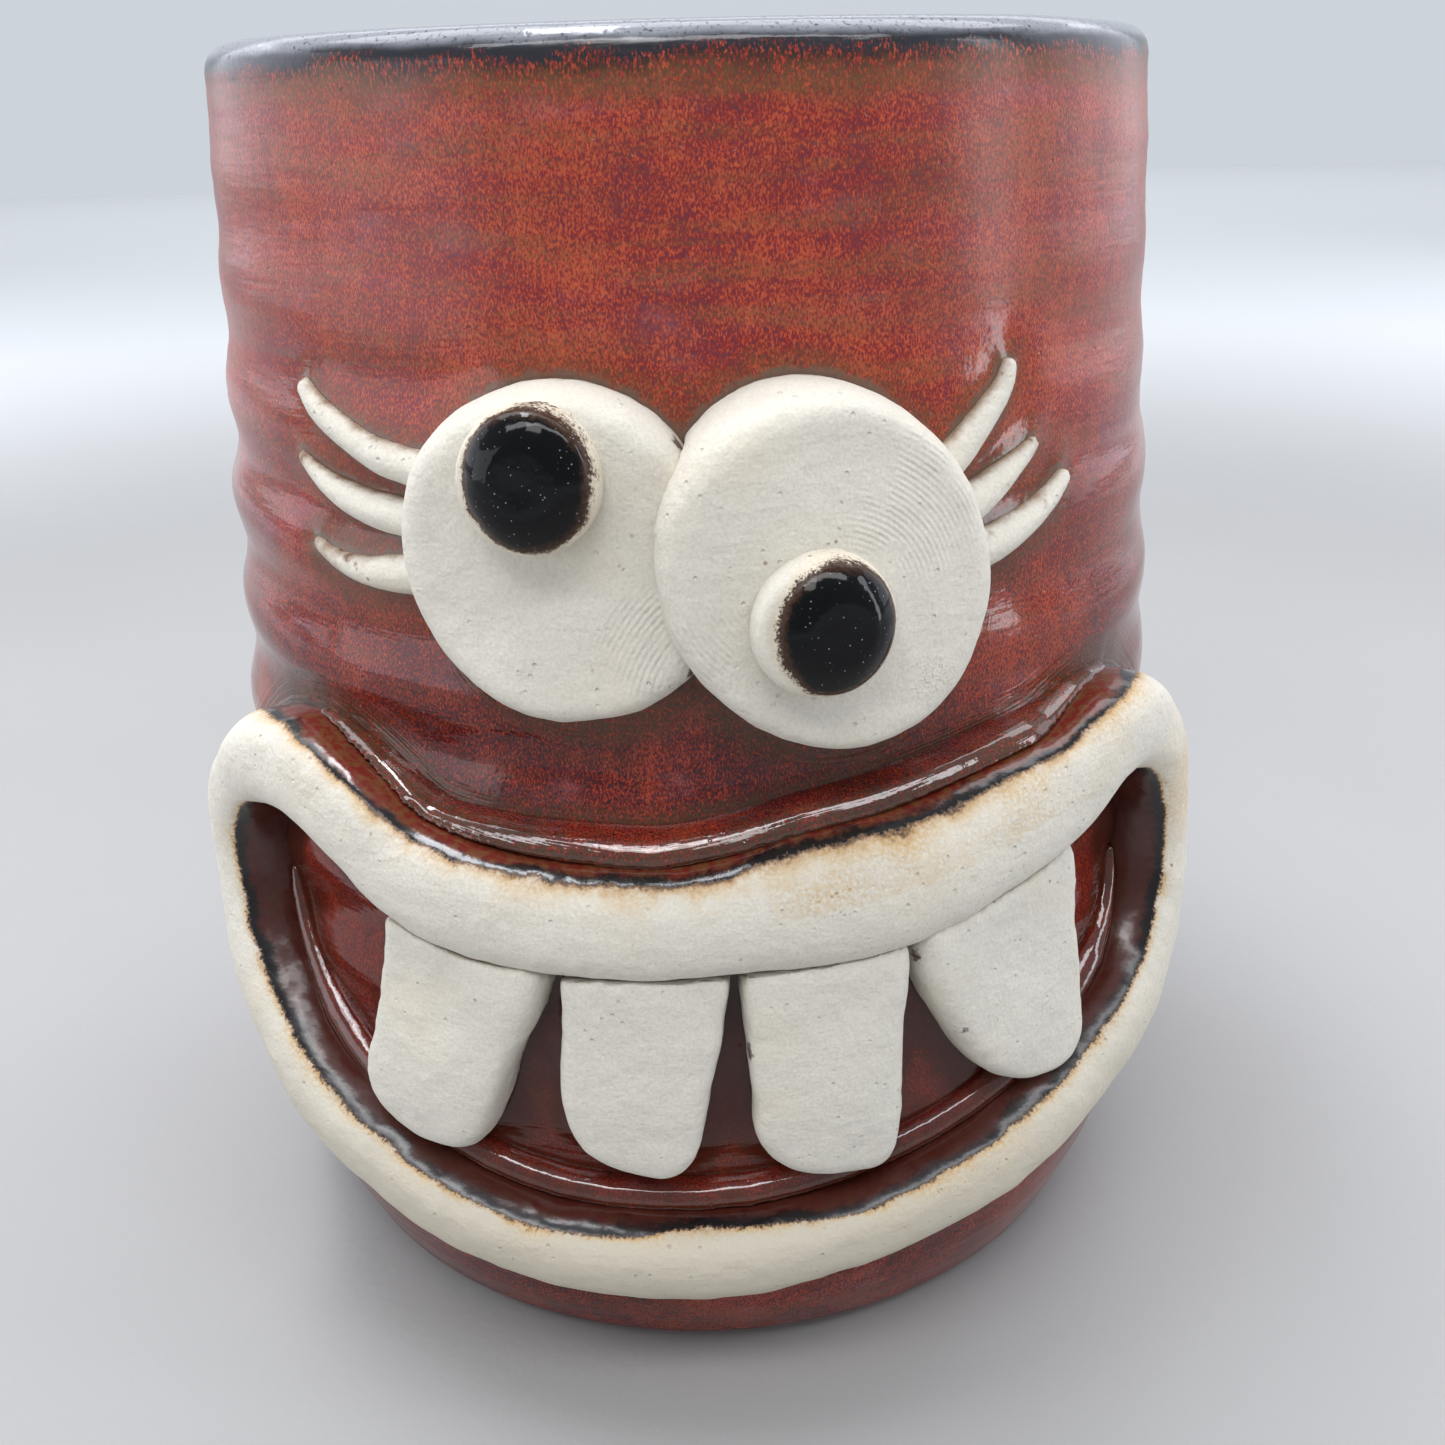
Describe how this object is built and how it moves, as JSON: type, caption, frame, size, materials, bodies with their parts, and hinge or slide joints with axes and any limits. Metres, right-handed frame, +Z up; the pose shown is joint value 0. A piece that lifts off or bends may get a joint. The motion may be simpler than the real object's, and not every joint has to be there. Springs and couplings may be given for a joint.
{
  "type": "pencil cup",
  "caption": "Wheel-thrown stoneware pencil cup with a goofy applied clay face: bulging eyes, curled lashes and a wide toothy grin.",
  "frame": {"origin": "centre of the foot, on the surface that the cup stands on", "axes": "+Z up through the mouth of the cup, the face looks along -Y, +X to the right of a person looking at the face"},
  "size_m": [0.1044, 0.1103, 0.1245],
  "materials": {
    "red_glaze": "mottled rust-red gloss glaze on stoneware",
    "seam_glaze": "rust-red gloss glaze, thin and brown on the ridge",
    "black_glaze": "gloss black glaze with pinholes, bare clay edge",
    "eye_clay": "bare off-white stoneware with finger marks",
    "bare_clay": "bare off-white stoneware",
    "lip_clay": "bare off-white stoneware, toasted brown beside the glaze",
    "tooth_clay": "bare greyish off-white stoneware"
  },
  "bodies": {
    "root": {"pot": "red_glaze", "left_eye": "eye_clay", "right_eye": "eye_clay", "left_pupil": "black_glaze", "right_pupil": "black_glaze", "left_lash_top": "bare_clay", "left_lash_middle": "bare_clay", "left_lash_bottom": "bare_clay", "right_lash_top": "bare_clay", "right_lash_middle": "bare_clay", "right_lash_bottom": "bare_clay", "upper_lip": "lip_clay", "lower_lip": "lip_clay", "upper_lip_seam": "seam_glaze", "inner_lip_seam": "seam_glaze", "tooth_far_left": "tooth_clay", "tooth_left": "tooth_clay", "tooth_right": "tooth_clay", "tooth_far_right": "tooth_clay"}
  },
  "joints": []
}
